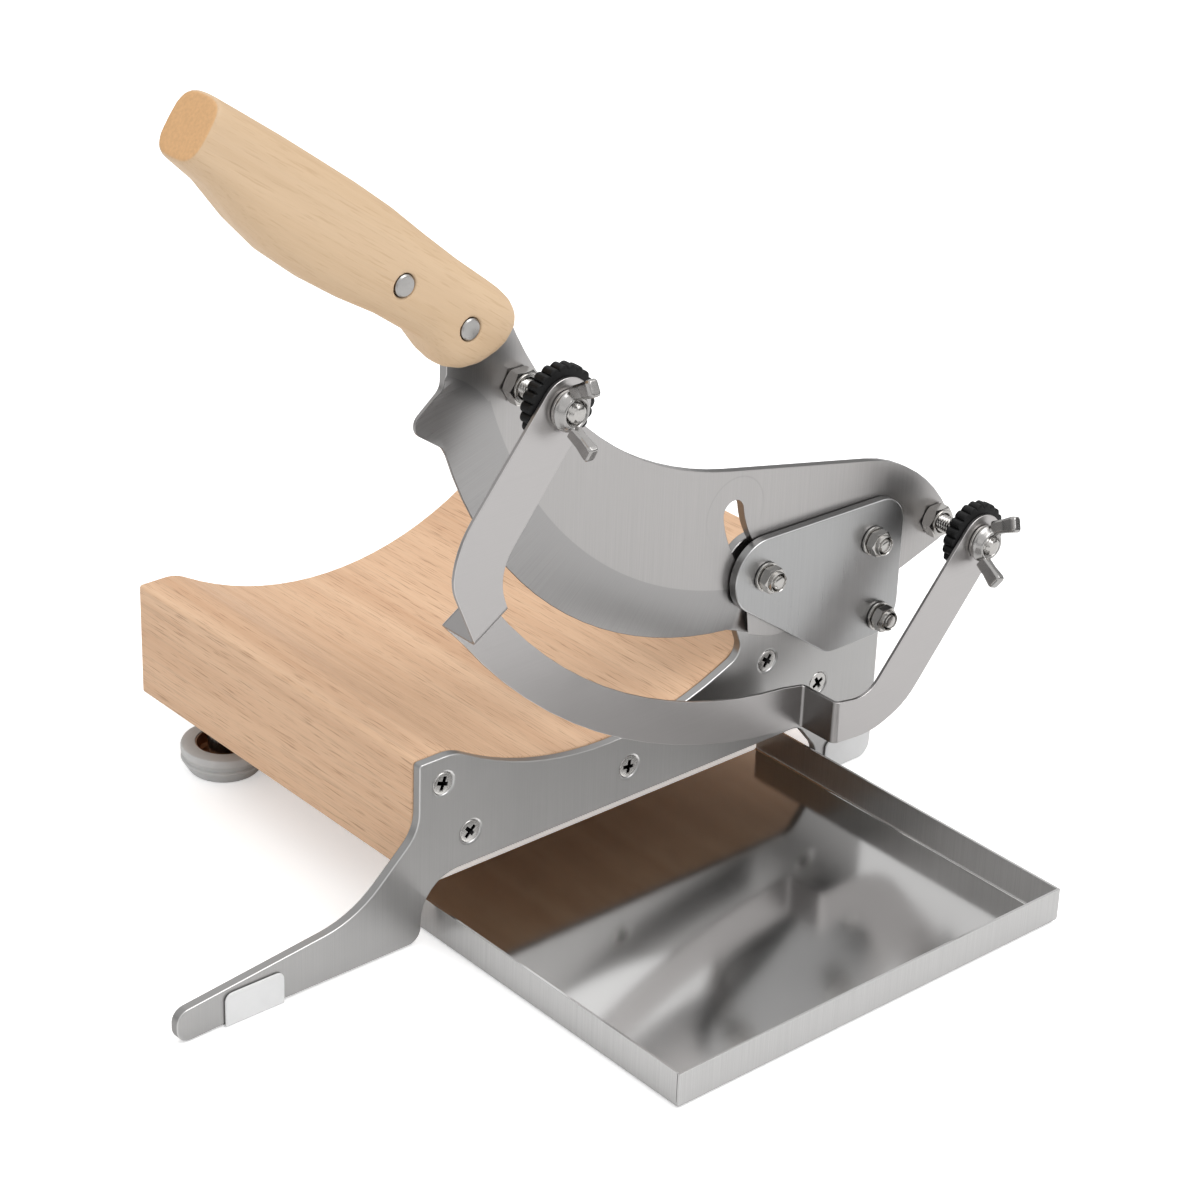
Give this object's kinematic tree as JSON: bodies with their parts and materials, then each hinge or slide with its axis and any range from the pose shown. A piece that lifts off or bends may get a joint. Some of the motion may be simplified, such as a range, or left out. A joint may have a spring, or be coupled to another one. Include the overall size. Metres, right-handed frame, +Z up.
{
  "type": "herb guillotine cutter",
  "caption": "Lever knife hinged in front of a dished wooden block, with a drawing cut, an adjustable slice gauge on two studs and a sliding catch tray.",
  "frame": {"origin": "on the table, on the sole of the right foot pad, straight under the pivot bolt; Y = 0 is the front plate's front face", "axes": "+X to the hinge side, +Y back along the wooden block, +Z up; the knife shears in front of the plane Y = 0"},
  "size_m": [0.3135, 0.2626, 0.284],
  "materials": {
    "plate_steel": "brushed",
    "blade_steel": "fine brushed, ground bevel",
    "fastener_steel": "bright",
    "tray_steel": "polished sheet",
    "block_wood": "smooth, unvarnished",
    "handle_wood": "smooth, oiled",
    "knob_plastic": "matt black",
    "pad_plastic": "milky",
    "foot_rubber": "matt grey"
  },
  "bodies": {
    "base": {"wood_block": "block_wood", "front_plate": "plate_steel", "plate_screw_1": "fastener_steel", "plate_screw_2": "fastener_steel", "plate_screw_3": "fastener_steel", "plate_screw_4": "fastener_steel", "plate_screw_5": "fastener_steel", "foot_pad_left": "pad_plastic", "foot_pad_right": "pad_plastic", "rear_foot_left": "foot_rubber", "rear_foot_right": "foot_rubber", "rear_foot_screw_left": "fastener_steel", "rear_foot_screw_right": "fastener_steel", "rear_foot_spacer_left": "fastener_steel", "rear_foot_spacer_right": "fastener_steel", "guard_plate": "plate_steel", "pivot_bolt": "fastener_steel", "guide_bolt": "fastener_steel", "lower_bolt": "fastener_steel", "guide_bush": "fastener_steel", "lower_bush": "fastener_steel", "pivot_washer": "fastener_steel", "guide_washer": "fastener_steel", "lower_washer": "fastener_steel", "pivot_lock_nut": "fastener_steel", "guide_lock_nut": "fastener_steel", "lower_lock_nut": "fastener_steel"},
    "pivot_bush": {"pivot_bush": "fastener_steel"},
    "knife": {"blade": "blade_steel", "handle": "handle_wood", "handle_rivet_1": "fastener_steel", "handle_rivet_2": "fastener_steel", "gauge_stud_left": "fastener_steel", "gauge_stud_right": "fastener_steel", "stud_nut_left": "fastener_steel", "stud_nut_right": "fastener_steel"},
    "gauge": {"thickness_gauge": "plate_steel"},
    "knurled_nut_left": {"knurled_nut_left": "knob_plastic"},
    "knurled_nut_right": {"knurled_nut_right": "knob_plastic"},
    "gauge_washer_left": {"gauge_washer_left": "fastener_steel"},
    "gauge_washer_right": {"gauge_washer_right": "fastener_steel"},
    "wing_nut_left": {"wing_nut_left": "fastener_steel"},
    "wing_nut_right": {"wing_nut_right": "fastener_steel"},
    "tray": {"tray": "tray_steel"}
  },
  "joints": [
    {"name": "blade_swing", "type": "hinge", "parent": "base", "child": "pivot_bush", "pos_m": [0, -0.0019, 0.0874], "axis": [0, -1, 0], "range_deg": [0, 38]},
    {"name": "blade_draw", "type": "slide", "parent": "pivot_bush", "child": "knife", "axis": [0.972, 0, 0.2351], "range_m": [0, 0.0239]},
    {"name": "knurled_nut_left_spin", "type": "hinge", "parent": "gauge", "child": "knurled_nut_left", "pos_m": [-0.1502, -0.0218, 0.1794], "axis": [0, 1, 0], "range_deg": [-360, 1800]},
    {"name": "knurled_nut_right_spin", "type": "hinge", "parent": "gauge", "child": "knurled_nut_right", "pos_m": [0.0321, -0.0218, 0.0848], "axis": [0, 1, 0], "range_deg": [-360, 1800]},
    {"name": "gauge_slide", "type": "slide", "parent": "knife", "child": "gauge", "axis": [0, 1, 0], "range_m": [-0.001, 0.005]},
    {"name": "washer_left_slide", "type": "slide", "parent": "gauge", "child": "gauge_washer_left", "axis": [0, 1, 0], "range_m": [-0.001, 0]},
    {"name": "washer_right_slide", "type": "slide", "parent": "gauge", "child": "gauge_washer_right", "axis": [0, 1, 0], "range_m": [-0.001, 0]},
    {"name": "wing_nut_left_spin", "type": "hinge", "parent": "gauge_washer_left", "child": "wing_nut_left", "pos_m": [-0.1502, -0.03, 0.1794], "axis": [0, 1, 0], "range_deg": [-360, 0]},
    {"name": "wing_nut_right_spin", "type": "hinge", "parent": "gauge_washer_right", "child": "wing_nut_right", "pos_m": [0.0321, -0.03, 0.0848], "axis": [0, 1, 0], "range_deg": [-360, 0]},
    {"name": "tray_slide", "type": "slide", "parent": "base", "child": "tray", "axis": [0, -1, 0], "range_m": [-0.08, 0.12]}
  ],
  "couplings": [
    {"joint": "blade_draw", "follows": "blade_swing", "m_per_rad": 0.036},
    {"joint": "knurled_nut_left_spin", "follows": "gauge_slide", "rad_per_m": 6283.2},
    {"joint": "knurled_nut_right_spin", "follows": "gauge_slide", "rad_per_m": 6283.2},
    {"joint": "washer_left_slide", "follows": "wing_nut_left_spin", "m_per_rad": 0.00015915},
    {"joint": "washer_right_slide", "follows": "wing_nut_right_spin", "m_per_rad": 0.00015915}
  ]
}
